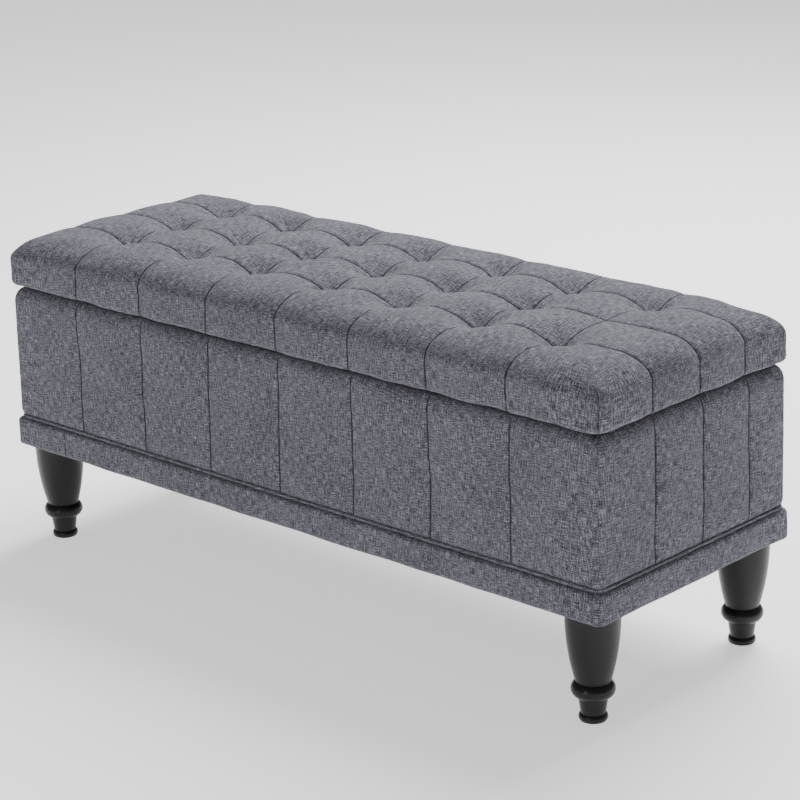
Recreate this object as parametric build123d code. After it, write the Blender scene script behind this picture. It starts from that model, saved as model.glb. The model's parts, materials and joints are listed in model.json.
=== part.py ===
from build123d import *
import os
from math import atan2, degrees, hypot

# Storage bench: an upholstered box on four turned legs, closed by a padded and tufted lid on hinges.
# Millimetres. The origin is on the floor under the middle of the bench: +X right, +Y back, +Z up.

# ---- driving dimensions: the box, outside to inside ----
body_length = 1050.0       # over the padded end faces
body_depth = 370.0         # over the padded front and back faces
base_height = 142.0        # floor to the underside of the base band
band_height = 40.0         # the base band, with its fabric
wall_height = 185.0        # padded wall, from the piping to the rim
band_proud = 5.0           # how far the base band stands outside the padded walls
fabric = 1.0               # upholstery fabric
side_pad = 10.0            # foam on the walls
panel_thickness = 12.0     # wall panels
lining = 1.0               # lining of the storage space
floor_thickness = 9.0
wall_corner_radius = 13.0  # upright corners of the padded walls
wall_top_radius = 11.0     # roll of the padding at the rim
wall_bottom_radius = 8.0   # roll of the padding at the piping
rim_wrap = 25.0            # how far the cover turns down inside the rim

# ---- base frame ----
rail_width = 25.0          # base rails, across
band_corner_radius = 9.0
band_edge_radius = 6.0
band_wrap = 30.0           # fabric turned under the rails
block_side = 70.0          # corner blocks, square in plan
cross_rail_width = 25.0
piping_radius = 2.5
piping_flange = 0.8
dust_cover = 0.6
dust_cover_inset = 14.0    # dust cover edge, in from the band

# ---- legs ----
leg_inset_x = 37.3         # leg axis, in from the end face
leg_inset_y = 34.3         # leg axis, in from the front or back face
leg_top_radius = 34.0
leg_mid_radius = 31.2
leg_neck_radius = 21.8
leg_neck_z = 51.5
leg_bead_radius = 27.2
leg_bead_z = 42.0
leg_ankle_radius = 18.4
leg_ankle_z = 31.0
leg_waist_radius = 15.4
leg_waist_z = 10.5
leg_foot_radius = 18.0
leg_foot_z = 5.2
leg_sole_radius = 16.2
glide_radius = 12.0
glide_thickness = 3.0
glide_proud = 0.8
bolt_radius = 4.0
bolt_in_leg = 40.0
bolt_in_block = 34.0
tee_nut_radius = 5.5
tee_nut_depth = 14.0
tee_flange_radius = 11.0
tee_flange = 1.5

# ---- lid ----
lid_gap = 4.0              # rim to the underside of the lid
lid_height = 72.0          # underside to the top of the cushion
lid_proud = 2.0            # how far the lid stands outside the walls
lid_fabric = 1.2
lid_corner_radius = 14.0
lid_top_radius = 16.0
lid_bottom_radius = 8.0
lid_board_thickness = 15.0
lid_board_inset = 8.0      # foam around the edge of the board
lid_board_corner = 10.0
lid_wrap = 60.0            # fabric turned under the board
lid_lining = 0.6
lid_lining_inset = 45.0    # long edges of the lining, in from the edge of the lid
lid_lining_clearance = 3.0 # ends of the lining, clear of the stay brackets
tuft_columns = 7
tuft_rows = 3
tuft_pitch_x = 128.6
tuft_pitch_y = 91.0
tuft_shift_y = 6.0         # middle row, behind the middle of the lid
untied = (6, 1)            # column and row of the one crossing that isn't tied down
tuft_depth = 24.0          # anchor discs, below the top of the cushion
tie_radius = 0.8
anchor_radius = 6.0
anchor_thickness = 1.5
knot_radius = 2.5
knot_thickness = 0.7

# ---- hinges ----
hinge_x = 300.0            # middle of each hinge, from the middle of the bench
hinge_length = 60.0
hinge_leaf = 1.5
hinge_leaf_width = 26.0    # from the pin axis
hinge_barrel_radius = 3.5
hinge_pin_radius = 1.5
hinge_knuckles = 5
knuckle_gap = 0.4
hinge_screw_pitch = 22.0
hinge_screws = 3
pin_axis_behind = 1.4      # pin axis, behind the back face of the walls

# ---- lid stays ----
stay_width = 14.0
stay_thickness = 2.0
stay_layer_gap = 0.3       # air between the arms, and between an arm and its bracket
lower_pivot = (-80.0, -95.0)   # from the hinge axis: y, z of the pivot on the box
upper_pivot = (-150.0, -12.0)  # from the hinge axis: y, z of the pivot on the lid
stay_plate_height = 60.0
stay_plate_width = 26.0
stay_screw_pitch = 40.0
stay_foot_length = 40.0
stay_foot_width = 17.0
stay_foot_pitch = 26.0
rivet_radius = 2.5
rivet_head_radius = 4.5
rivet_head = 1.0
knee_clearance = 0.4       # radial, at the knee

# ---- fasteners and fits ----
screw_radius = 1.6
screw_head_radius = 3.2
screw_head = 1.4
screw_length = 12.0
carcass_screw_radius = 2.0
carcass_head_radius = 4.0
carcass_head = 2.4
carcass_screw_length = 40.0
carcass_screws = 3         # at each corner
staple_crown = 10.0
staple_wire = 0.7
staple_leg = 5.0
staple_pitch = 90.0
bumper_radius = 5.0
bumper_gap = 0.4           # bumper to lid when shut
bumper_inset = 16.0        # bumper centre, in from the corner of the walls
hole_clearance = 0.1       # radial, around bolts, screws and ties
running_clearance = 0.05   # radial, around pins and rivets that turn

# ---- levels and faces worked out from the sizes above ----
half_length = body_length / 2
half_depth = body_depth / 2
rail_bottom = base_height + fabric
rail_top = base_height + band_height - fabric
floor_top = rail_top + floor_thickness
wall_bottom = rail_top + fabric + 2 * piping_radius
rim = wall_bottom + wall_height
lid_bottom = rim + lid_gap
lid_top = lid_bottom + lid_height
leg_top = base_height - dust_cover
panel_x = half_length - fabric - side_pad         # outer face of the end panels
panel_y = half_depth - fabric - side_pad          # outer face of the front and back panels
cavity_x = panel_x - panel_thickness              # inner face of the end panels
cavity_y = panel_y - panel_thickness
rail_x = half_length + band_proud - fabric        # outer face of the base rails
rail_y = half_depth + band_proud - fabric
leg_x = half_length - leg_inset_x
leg_y = half_depth - leg_inset_y
hinge_y = half_depth + pin_axis_behind
hinge_z = rim + lid_gap / 2
board_x = half_length + lid_proud - lid_fabric - lid_board_inset
board_y = half_depth + lid_proud - lid_fabric - lid_board_inset
board_bottom = lid_bottom + lid_fabric
corners = [(sx, sy) for sx in (-1, 1) for sy in (-1, 1)]


def block(x0, x1, y0, y1, z0, z1):
    """A box between two opposite corners."""
    return Pos((x0 + x1) / 2, (y0 + y1) / 2, (z0 + z1) / 2) * Box(x1 - x0, y1 - y0, z1 - z0)


def centred(x, y, z0, z1):
    """A box of half-sizes x and y about the Z axis."""
    return block(-x, x, -y, y, z0, z1)


def soft_block(x, y, z0, z1, corner, top, bottom):
    """A box of half-sizes x and y with rounded upright corners and rolled top and bottom edges."""
    body = centred(x, y, z0, z1)
    body = fillet(body.edges().filter_by(Axis.Z), corner)
    body = fillet(body.faces().sort_by(Axis.Z)[-1].edges(), top)
    return fillet(body.faces().sort_by(Axis.Z)[0].edges(), bottom)


def rod(radius, start, end):
    """A cylinder between two points."""
    axis = Vector(*end) - Vector(*start)
    on_end = (Align.CENTER, Align.CENTER, Align.MIN)
    return Plane(origin=start, z_dir=axis) * Cylinder(radius, axis.length, align=on_end)


def disc(radius, x, y, z0, z1):
    """An upright cylinder."""
    return rod(radius, (x, y, z0), (x, y, z1))


def group(solids):
    """Separate solids in one node."""
    return Compound(children=list(solids))


def countersunk(length, radius, head_radius, head, grow=0.0):
    """A screw whose head is flush with z = 0 and whose point is at z = -length; grow makes its hole."""
    tip = 2 * radius
    profile = Polyline(
        (0, 0), (head_radius + grow, 0), (radius + grow, -head), (radius + grow, -length + tip),
        (0, -length - grow), (0, 0)
    )
    return revolve(Plane.XZ * make_face(profile), Axis.Z)


def screw(length, radius, head_radius, head):
    """A countersunk screw with a cross recess."""
    slot = Box(head_radius * 1.3, radius * 0.5, head * 1.2)
    return countersunk(length, radius, head_radius, head) - slot - Rot(0, 0, 90) * slot


def small_screw():
    return screw(screw_length, screw_radius, screw_head_radius, screw_head)


def small_hole():
    return countersunk(screw_length, screw_radius, screw_head_radius, screw_head, hole_clearance)


def both_sides(shape):
    """A right-hand piece and its mirror image on the left."""
    return {"right": shape, "left": mirror(shape, about=Plane.YZ)}


# ---- walls ----
def wall_ring(inset, bottom, top):
    """The padded wall's outside, moved in by inset, as a solid block."""
    return soft_block(
        half_length - inset, half_depth - inset, bottom, top,
        wall_corner_radius - inset, wall_top_radius - inset, wall_bottom_radius - inset
    )


def side_pads():
    """Foam on the four sides: a rounded ring cut into two long pads and two end pads."""
    ring = wall_ring(fabric, wall_bottom + fabric, rim - fabric)
    ring -= centred(panel_x, panel_y, wall_bottom, rim)
    front = ring & block(-half_length, half_length, -half_depth, -panel_y, wall_bottom, rim)
    end = ring & block(panel_x, half_length, -panel_y, panel_y, wall_bottom, rim)
    pads = {"front_pad": front, "back_pad": mirror(front, about=Plane.XZ)}
    pads.update({f"{side}_end_pad": pad for side, pad in both_sides(end).items()})
    return pads


def box_cover():
    """The sewn cover: over the pads, over the rim and a little way down inside it."""
    cover = wall_ring(0, wall_bottom, rim) - wall_ring(fabric, wall_bottom + fabric, rim - fabric)
    cover -= centred(panel_x, panel_y, wall_bottom - fabric, rim - fabric)
    wrap = centred(cavity_x, cavity_y, rim - rim_wrap, rim)
    cover = cover + wrap + centred(panel_x, panel_y, rim - fabric, rim)
    return cover - centred(cavity_x - fabric, cavity_y - fabric, rim - 2 * rim_wrap, rim + fabric)


def carcass_screw_places():
    """Screws through the long panels into the edges of the end panels: x, y, z, and the way they point."""
    step = (rim - floor_top) / (carcass_screws + 1)
    levels = [floor_top + step * (i + 1) for i in range(carcass_screws)]
    x = (panel_x + cavity_x) / 2
    return [(sx * x, sy * panel_y, z, sy) for sx, sy in corners for z in levels]


def carcass_fasteners(grow=None):
    """The panel screws, or their holes."""
    sizes = (carcass_screw_length, carcass_screw_radius, carcass_head_radius, carcass_head)
    one = screw(*sizes) if grow is None else countersunk(*sizes, grow)
    return [Pos(x, y, z) * Rot(-90 * sy, 0, 0) * one for x, y, z, sy in carcass_screw_places()]


def panels():
    """Front and back panels run the full length; the end panels fit between them."""
    front = block(-panel_x, panel_x, -panel_y, -cavity_y, floor_top, rim - fabric)
    end = block(cavity_x, panel_x, -cavity_y, cavity_y, floor_top, rim - fabric)
    boards = {"front_panel": front, "back_panel": mirror(front, about=Plane.XZ)}
    boards.update({f"{side}_end_panel": board for side, board in both_sides(end).items()})
    holes = group(carcass_fasteners(hole_clearance))
    return {name: board - holes for name, board in boards.items()}


def box_lining():
    """Lining of the storage space: floor and walls up to the turned-in cover."""
    tray = centred(cavity_x, cavity_y, floor_top, rim - rim_wrap)
    return tray - centred(cavity_x - lining, cavity_y - lining, floor_top + lining, rim)


# ---- base ----
def base_block(inset, bottom, top):
    """The base band's outside, moved in by inset, as a solid block."""
    return soft_block(
        half_length + band_proud - inset, half_depth + band_proud - inset, bottom, top,
        band_corner_radius - inset, band_edge_radius - inset, band_edge_radius - inset
    )


def base_rails():
    """Rounded lower frame: two long rails and two end rails between them."""
    inner_x = rail_x - rail_width
    inner_y = rail_y - rail_width
    ring = base_block(fabric, rail_bottom, rail_top) - centred(inner_x, inner_y, 0, rim)
    front = ring & block(-rail_x, rail_x, -rail_y, -inner_y, 0, rim)
    end = ring & block(inner_x, rail_x, -inner_y, inner_y, 0, rim)
    rails = {"front_base_rail": front, "back_base_rail": mirror(front, about=Plane.XZ)}
    rails.update({f"{side}_base_rail": rail for side, rail in both_sides(end).items()})
    half = cross_rail_width / 2
    rails["cross_rail"] = block(-half, half, -inner_y, inner_y, rail_bottom, rail_top)
    return rails


def base_band_cover():
    """Fabric of the base band: outside, turned under the rails and in over their top."""
    band = base_block(0, base_height, rail_top + fabric) - base_block(fabric, rail_bottom, rail_top)
    x = half_length + band_proud - band_wrap
    y = half_depth + band_proud - band_wrap
    band -= centred(x, y, 0, rail_bottom)
    return band - centred(panel_x, panel_y, rail_bottom + fabric, rim)


def base_piping():
    """Fabric-covered cord on top of the base band, with the flange that holds it between the covers."""
    level = rail_top + fabric + piping_radius
    line = Pos(0, 0, level) * RectangleRounded(body_length, body_depth, wall_corner_radius)
    path = line.wires()[0]
    cord = sweep(Plane(origin=path @ 0, z_dir=path % 0) * Circle(piping_radius), path=path)
    ring = extrude(line, piping_flange / 2, both=True)
    return cord + (ring - centred(panel_x + fabric, panel_y + fabric, 0, rim))


def corner_blocks():
    """Blocks in the corners of the base frame, bored for the leg bolts and their tee nuts."""
    inner_x = rail_x - rail_width
    inner_y = rail_y - rail_width
    one = block(inner_x - block_side, inner_x, inner_y - block_side, inner_y, rail_bottom, rail_top)
    one -= disc(tee_nut_radius + hole_clearance, leg_x, leg_y, 0, rail_top)
    one -= disc(tee_flange_radius + hole_clearance, leg_x, leg_y, rail_top - tee_flange, rail_top)
    one = both_sides(one)
    return group([one["right"], one["left"]] + [mirror(b, about=Plane.XZ) for b in one.values()])


def at_legs(shape):
    """One copy of a piece at each leg axis."""
    return [Pos(sx * leg_x, sy * leg_y, 0) * shape for sx, sy in corners]


def leg():
    """Turned leg: a swelling taper down to a bead, a plain ankle and a small foot bead."""
    middle = (leg_top + leg_neck_z) / 2
    shoulder = (leg_top_radius, leg_top)
    neck = (leg_neck_radius, leg_neck_z)
    ankle = (leg_ankle_radius, leg_ankle_z)
    waist = (leg_waist_radius, leg_waist_z)
    sole = (leg_sole_radius, glide_proud)
    outline = Polyline((0, glide_proud), (0, leg_top), shoulder)
    outline += ThreePointArc(shoulder, (leg_mid_radius, middle), neck)
    outline += ThreePointArc(neck, (leg_bead_radius, leg_bead_z), ankle)
    outline += Line(ankle, waist)
    outline += ThreePointArc(waist, (leg_foot_radius, leg_foot_z), sole)
    outline += Line(sole, (0, glide_proud))
    body = revolve(Plane.XZ * make_face(outline), Axis.Z)
    body -= disc(bolt_radius + hole_clearance, 0, 0, leg_top - bolt_in_leg - hole_clearance, leg_top)
    return body - disc(glide_radius + hole_clearance, 0, 0, 0, glide_thickness)


def hanger_bolt():
    body = disc(bolt_radius, 0, 0, leg_top - bolt_in_leg, leg_top + bolt_in_block)
    return chamfer(body.edges().filter_by(GeomType.CIRCLE), bolt_radius / 4)


def tee_nut():
    body = disc(tee_nut_radius, 0, 0, rail_top - tee_nut_depth, rail_top)
    body += disc(tee_flange_radius, 0, 0, rail_top - tee_flange, rail_top)
    return body - disc(bolt_radius + hole_clearance, 0, 0, 0, rim)


def staple():
    """A staple with its crown on z = 0, outside, and its legs up into the board."""
    half = staple_crown / 2
    wire = staple_wire / 2
    crown = block(-half, half, -wire, wire, -staple_wire, 0)
    return crown + staple_legs()


def staple_legs():
    wire = staple_wire / 2
    middle = staple_crown / 2 - wire
    return [block(s * middle - wire, s * middle + wire, -wire, wire, 0, staple_leg) for s in (-1, 1)]


def staple_line(reach):
    """Even places along a side of half-length reach, about staple_pitch apart."""
    steps = max(1, round(2 * reach / staple_pitch))
    return [-reach + 2 * reach * i / steps for i in range(steps + 1)]


def staple_places(x, y, reach_x, reach_y):
    """Staples along the four sides of a rectangle of half-sizes x and y."""
    places = [Pos(u, s * y, 0) for u in staple_line(reach_x) for s in (-1, 1)]
    return places + [Pos(s * x, v, 0) * Rot(0, 0, 90) for v in staple_line(reach_y) for s in (-1, 1)]


def base_staple_places():
    x = rail_x - rail_width / 2
    y = rail_y - rail_width / 2
    clear = leg_top_radius + staple_crown
    return [Pos(0, 0, leg_top) * p for p in staple_places(x, y, leg_x - clear, leg_y - clear)]


def dust_sheet():
    """Thin cover under the base, between the rails and the tops of the legs."""
    x = half_length + band_proud - dust_cover_inset
    y = half_depth + band_proud - dust_cover_inset
    return centred(x, y, leg_top, base_height) - at_legs(disc(bolt_radius + hole_clearance, 0, 0, 0, rim))


# ---- lid ----
def lid_block(inset):
    """The lid's outside, moved in by inset, as a solid block."""
    return soft_block(
        half_length + lid_proud - inset, half_depth + lid_proud - inset, lid_bottom + inset, lid_top - inset,
        lid_corner_radius - inset, lid_top_radius - inset, lid_bottom_radius - inset
    )


def tuft_points():
    """Where the cover is tied down: even columns and rows, but for one crossing."""
    first_x = -tuft_pitch_x * (tuft_columns - 1) / 2
    first_y = tuft_shift_y - tuft_pitch_y * (tuft_rows - 1) / 2
    tied = [(i, j) for i in range(tuft_columns) for j in range(tuft_rows) if (i, j) != untied]
    return [(first_x + tuft_pitch_x * i, first_y + tuft_pitch_y * j) for i, j in tied]


def tuft_tie(x, y, grow=0.0):
    """A tie through the board, with an anchor disc in the foam and a knot under the board."""
    anchor = lid_top - tuft_depth
    tie = disc(tie_radius + grow, x, y, board_bottom, anchor)
    tie += disc(anchor_radius + grow, x, y, anchor - anchor_thickness, anchor + grow)
    return tie + disc(knot_radius, x, y, board_bottom - knot_thickness, board_bottom)


def lid_board():
    board = centred(board_x, board_y, board_bottom, board_bottom + lid_board_thickness)
    return fillet(board.edges().filter_by(Axis.Z), lid_board_corner)


def lid_foam():
    return lid_block(lid_fabric) - lid_board()


def lid_cover():
    """Fabric over the foam and turned under the board."""
    cover = lid_block(0) - lid_block(lid_fabric)
    x = half_length + lid_proud - lid_wrap
    y = half_depth + lid_proud - lid_wrap
    return cover - centred(x, y, lid_bottom - lid_fabric, board_bottom)


def lid_lining_sheet():
    return centred(lid_lining_x, lid_lining_y, lid_bottom - lid_lining, lid_bottom)


def lid_staple_places():
    x = lid_lining_x - staple_crown
    y = lid_lining_y - staple_crown
    spots = staple_places(x, y, x - staple_crown, y - staple_crown)
    return [Pos(0, 0, lid_bottom - lid_lining) * p for p in spots]


# ---- hinges ----
def hinge_screw_xs():
    return [hinge_x + hinge_screw_pitch * (i - (hinge_screws - 1) / 2) for i in range(hinge_screws)]


def hinge_screw_y():
    return (panel_y + cavity_y) / 2


def box_hinge_screws(shape):
    return [Pos(s * x, hinge_screw_y(), rim + hinge_leaf) * shape for x in hinge_screw_xs() for s in (-1, 1)]


def lid_hinge_screws(shape):
    level = lid_bottom - hinge_leaf
    places = [Pos(s * x, hinge_screw_y(), level) for x in hinge_screw_xs() for s in (-1, 1)]
    return [place * Rot(180, 0, 0) * shape for place in places]


def hinge_leaf_piece(z0, first, screws):
    """A leaf with every second knuckle, from number first on, and room for the other leaf's knuckles."""
    pitch = hinge_length / hinge_knuckles
    start = hinge_x - hinge_length / 2
    leaf = block(start, start + hinge_length, hinge_y - hinge_leaf_width, hinge_y, z0, z0 + hinge_leaf)
    for i in range(hinge_knuckles):
        x0 = start + pitch * i
        own = i % 2 == first
        trim = knuckle_gap / 2 if own else -knuckle_gap / 2
        radius = hinge_barrel_radius if own else hinge_barrel_radius + knuckle_gap
        barrel = rod(radius, (x0 + trim, hinge_y, hinge_z), (x0 + pitch - trim, hinge_y, hinge_z))
        leaf = leaf + barrel if own else leaf - barrel
    ends = [(start + u, hinge_y, hinge_z) for u in (-1, hinge_length + 1)]
    return leaf - rod(hinge_pin_radius + running_clearance, *ends) - screws


def hinge_pin():
    start = hinge_x - hinge_length / 2
    return rod(hinge_pin_radius, (start, hinge_y, hinge_z), (start + hinge_length, hinge_y, hinge_z))


# ---- lid stays: the right-hand one, in the plane of the right end wall ----
wall_face = cavity_x - fabric                       # inner face of the lined end wall
plate_x = wall_face - stay_thickness
lower_x = plate_x - stay_layer_gap - stay_thickness   # low side of the lower arm's layer
upper_x = lower_x - stay_layer_gap - stay_thickness   # low side of the upper arm's layer
pivot_low = (hinge_y + lower_pivot[0], hinge_z + lower_pivot[1])
pivot_high = (hinge_y + upper_pivot[0], hinge_z + upper_pivot[1])
knee = (pivot_low[0] + upper_pivot[0], pivot_low[1] + upper_pivot[1])
lid_lining_x = lower_x + stay_thickness - stay_foot_width - lid_lining_clearance
lid_lining_y = half_depth + lid_proud - lid_lining_inset


def across(radius, x0, x1, at):
    """A cylinder along X at a place (y, z)."""
    return rod(radius, (x0, *at), (x1, *at))


def arm(x0, start, end, start_hole, end_hole):
    """A flat arm with round ends between two places (y, z)."""
    run = hypot(end[0] - start[0], end[1] - start[1])
    turn = degrees(atan2(end[1] - start[1], end[0] - start[0]))
    bar = Pos(0, (start[0] + end[0]) / 2, (start[1] + end[1]) / 2) * Rot(turn, 0, 0) * Box(
        stay_thickness, run, stay_width, align=(Align.MIN, Align.CENTER, Align.CENTER)
    )
    bar = Pos(x0, 0, 0) * bar
    bar += [across(stay_width / 2, x0, x0 + stay_thickness, at) for at in (start, end)]
    bar -= across(start_hole, x0 - 1, x0 + stay_thickness + 1, start)
    return bar - across(end_hole, x0 - 1, x0 + stay_thickness + 1, end)


def rivet(x0, x1, at):
    """A rivet that fills x0 to x1 between its two heads."""
    ends = across(rivet_head_radius, x0 - rivet_head, x0, at)
    return ends + across(rivet_radius, x0 - rivet_head, x1, at)


def box_bracket():
    y, z = pivot_low
    plate = block(
        plate_x, wall_face, y - stay_plate_width / 2, y + stay_plate_width / 2,
        z - stay_plate_height / 2, z + stay_plate_height / 2
    )
    plate = fillet(plate.edges().filter_by(Axis.X), stay_plate_width / 4)
    plate -= across(rivet_radius, plate_x - 1, wall_face + 1, pivot_low)
    return plate - right_box_screws(small_hole())


def right_box_screws(shape):
    """Screws through the box bracket into the end panel, heads flush."""
    y, z = pivot_low
    return [Pos(plate_x, y, z + s * stay_screw_pitch / 2) * Rot(0, -90, 0) * shape for s in (-1, 1)]


def lid_bracket():
    """An angle under the lid: a foot with two screws and an ear for the upper arm."""
    y, z = pivot_high
    half = stay_foot_length / 2
    foot = block(
        lower_x + stay_thickness - stay_foot_width, lower_x + stay_thickness, y - half, y + half,
        lid_bottom - stay_thickness, lid_bottom
    )
    ear = block(lower_x, lower_x + stay_thickness, y - stay_width / 2, y + stay_width / 2, z, lid_bottom)
    ear += across(stay_width / 2, lower_x, lower_x + stay_thickness, pivot_high)
    bracket = foot + ear - across(rivet_radius, lower_x - 1, lower_x + stay_thickness + 1, pivot_high)
    return bracket - right_lid_screws(small_hole())


def right_lid_screws(shape):
    """Screws up through the lid bracket's foot into the lid board, heads flush."""
    y = pivot_high[0]
    x = lower_x + stay_thickness / 2 - stay_foot_width / 2
    places = [Pos(x, y + s * stay_foot_pitch / 2, lid_bottom - stay_thickness) for s in (-1, 1)]
    return [place * Rot(180, 0, 0) * shape for place in places]


def mirrored(shapes):
    """Right-hand solids and their mirror images, in one node."""
    return group(list(shapes) + [mirror(s, about=Plane.YZ) for s in shapes])


# ---- all pieces ----
parts = {}
parts.update(side_pads())
parts.update(panels())
parts.update(base_rails())

for spot, body in zip(corners, at_legs(leg())):
    end = "left" if spot[0] < 0 else "right"
    face = "front" if spot[1] < 0 else "back"
    parts[f"{face}_{end}_leg"] = body
parts["leg_hanger_bolts"] = group(at_legs(hanger_bolt()))
parts["leg_tee_nuts"] = group(at_legs(tee_nut()))
parts["foot_glides"] = group(at_legs(disc(glide_radius, 0, 0, 0, glide_thickness)))
parts["corner_blocks"] = corner_blocks()

base_legs = group(p * s for p in base_staple_places() for s in staple_legs())
for name in ("front_base_rail", "back_base_rail", "left_base_rail", "right_base_rail"):
    parts[name] -= base_legs
parts["dust_cover"] = dust_sheet() - base_legs
parts["dust_cover_staples"] = group(p * staple() for p in base_staple_places())
parts["base_band_cover"] = base_band_cover() - base_legs
parts["base_piping"] = base_piping()

parts["floor_board"] = centred(panel_x, panel_y, rail_top, floor_top)
parts["box_lining"] = box_lining()
parts["box_cover"] = box_cover()
parts["carcass_screws"] = group(carcass_fasteners())
bumper_x = half_length - bumper_inset
bumper_y = half_depth - bumper_inset
bumper_top = lid_bottom - bumper_gap
parts["lid_bumpers"] = group(
    fillet(disc(bumper_radius, sx * bumper_x, sy * bumper_y, rim, bumper_top).edges().sort_by(Axis.Z)[-1], 1)
    for sx, sy in corners
)

box_holes = group(box_hinge_screws(small_hole()))
lid_holes = group(lid_hinge_screws(small_hole()))
parts["back_panel"] -= box_holes
parts["box_cover"] -= box_holes
box_leaf = hinge_leaf_piece(rim, 0, box_hinge_screws(small_hole()))
lid_leaf = hinge_leaf_piece(lid_bottom - hinge_leaf, 1, lid_hinge_screws(small_hole()))
paired = {"hinge_box_leaf": box_leaf, "hinge_lid_leaf": lid_leaf, "hinge_pin": hinge_pin()}
parts["hinge_box_screws"] = group(box_hinge_screws(small_screw()))
parts["hinge_lid_screws"] = group(lid_hinge_screws(small_screw()))

stay_box_holes = mirrored(right_box_screws(small_hole()))
for name in ("left_end_panel", "right_end_panel", "box_lining"):
    parts[name] -= stay_box_holes
pivot_hole = rivet_radius + running_clearance
paired["stay_box_bracket"] = box_bracket()
paired["stay_lid_bracket"] = lid_bracket()
paired["stay_lower_arm"] = arm(lower_x, pivot_low, knee, pivot_hole, rivet_radius + knee_clearance)
paired["stay_upper_arm"] = arm(upper_x, pivot_high, knee, pivot_hole, rivet_radius)
paired["stay_knee_rivet"] = rivet(upper_x, lower_x + stay_thickness, knee)
for name, shape in paired.items():
    parts.update({f"{side}_{name}": piece for side, piece in both_sides(shape).items()})
parts["stay_box_rivets"] = mirrored([rivet(lower_x, wall_face, pivot_low)])
parts["stay_lid_rivets"] = mirrored([rivet(upper_x, lower_x + stay_thickness, pivot_high)])
parts["stay_box_screws"] = mirrored(right_box_screws(small_screw()))
parts["stay_lid_screws"] = mirrored(right_lid_screws(small_screw()))

stay_lid_holes = mirrored(right_lid_screws(small_hole()))
lid_legs = group(p * s for p in lid_staple_places() for s in staple_legs())
ties = [tuft_tie(x, y) for x, y in tuft_points()]
tie_holes = group(tuft_tie(x, y, hole_clearance) for x, y in tuft_points())
parts["lid_board"] = lid_board() - tie_holes - lid_holes - stay_lid_holes - lid_legs
parts["lid_foam"] = lid_foam() - tie_holes
parts["lid_cover"] = lid_cover() - tie_holes - lid_holes - stay_lid_holes - lid_legs
parts["lid_lining"] = lid_lining_sheet() - lid_legs
parts["lid_lining_staples"] = group(p * staple() for p in lid_staple_places())
parts["tuft_ties"] = group(ties)

os.makedirs("parts", exist_ok=True)
for name, shape in parts.items():
    export_step(shape, f"parts/{name}.step")
print(len(parts), "nodes; top of the lid at", lid_top, "mm")
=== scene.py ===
import bpy
import bmesh
import json
import math
import numpy as np
from mathutils import Matrix, Vector


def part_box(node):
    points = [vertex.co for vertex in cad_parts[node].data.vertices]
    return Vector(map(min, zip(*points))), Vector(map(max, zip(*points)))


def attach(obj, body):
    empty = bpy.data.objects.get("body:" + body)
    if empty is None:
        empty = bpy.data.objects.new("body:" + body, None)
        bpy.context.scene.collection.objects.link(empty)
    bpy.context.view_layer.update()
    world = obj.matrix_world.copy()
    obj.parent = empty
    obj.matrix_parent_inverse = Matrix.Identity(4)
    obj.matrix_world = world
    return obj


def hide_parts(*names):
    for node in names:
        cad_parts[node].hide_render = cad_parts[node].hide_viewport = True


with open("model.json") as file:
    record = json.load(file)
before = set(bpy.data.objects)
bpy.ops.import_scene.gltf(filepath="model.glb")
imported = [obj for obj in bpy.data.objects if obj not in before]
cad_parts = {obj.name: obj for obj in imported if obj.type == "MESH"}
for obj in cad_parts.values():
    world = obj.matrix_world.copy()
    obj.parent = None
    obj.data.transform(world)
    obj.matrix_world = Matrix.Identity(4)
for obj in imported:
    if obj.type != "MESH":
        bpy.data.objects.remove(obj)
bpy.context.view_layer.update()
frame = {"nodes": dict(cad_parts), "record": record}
print("frame loaded,", len(frame["nodes"]), "pieces")

# ---------- shapes ----------


def smoothStep(low, high, x):  # 0 below low, 1 above high, a smooth S between
    t = np.clip((x - low) / (high - low), 0, 1)
    return t * t * (3 - 2 * t)


def ripple(x, y, seed, size, count=14):
    # soft unevenness, about -1 to 1: a sum of plane waves of random direction and phase, size across
    rng = np.random.default_rng(seed)
    angle = rng.uniform(0, 2 * math.pi, count)
    wave = 2 * math.pi / (size * rng.uniform(0.7, 1.6, count))
    phase = rng.uniform(0, 2 * math.pi, count)
    total = sum(np.sin((x * math.cos(a) + y * math.sin(a)) * w + p) for a, w, p in zip(angle, wave, phase))
    return total / math.sqrt(count)


def nearSeam(x, seams):  # signed distance to the nearest seam
    gap = x[..., None] - np.asarray(seams)
    nearest = np.abs(gap).argmin(-1)
    return np.take_along_axis(gap, nearest[..., None], -1)[..., 0]


def seamSamples(low, high, seams, coarse):
    # places along a side: close together beside each seam, no more than coarse apart elsewhere
    fine = np.array([0, 0.7, 1.4, 2.2, 3.2, 4.6, 6.4, 9, 12.5, 17]) / 1000
    marks = [low, high] + [s + d for s in seams for d in np.concatenate([-fine, fine])]
    marks = np.unique(np.round([m for m in marks if low <= m <= high], 6))
    spans = zip(marks[:-1], marks[1:])
    steps = [np.linspace(a, b, int(np.ceil((b - a) / coarse)) + 1)[:-1] for a, b in spans]
    return np.append(np.concatenate(steps), marks[-1])


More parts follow.
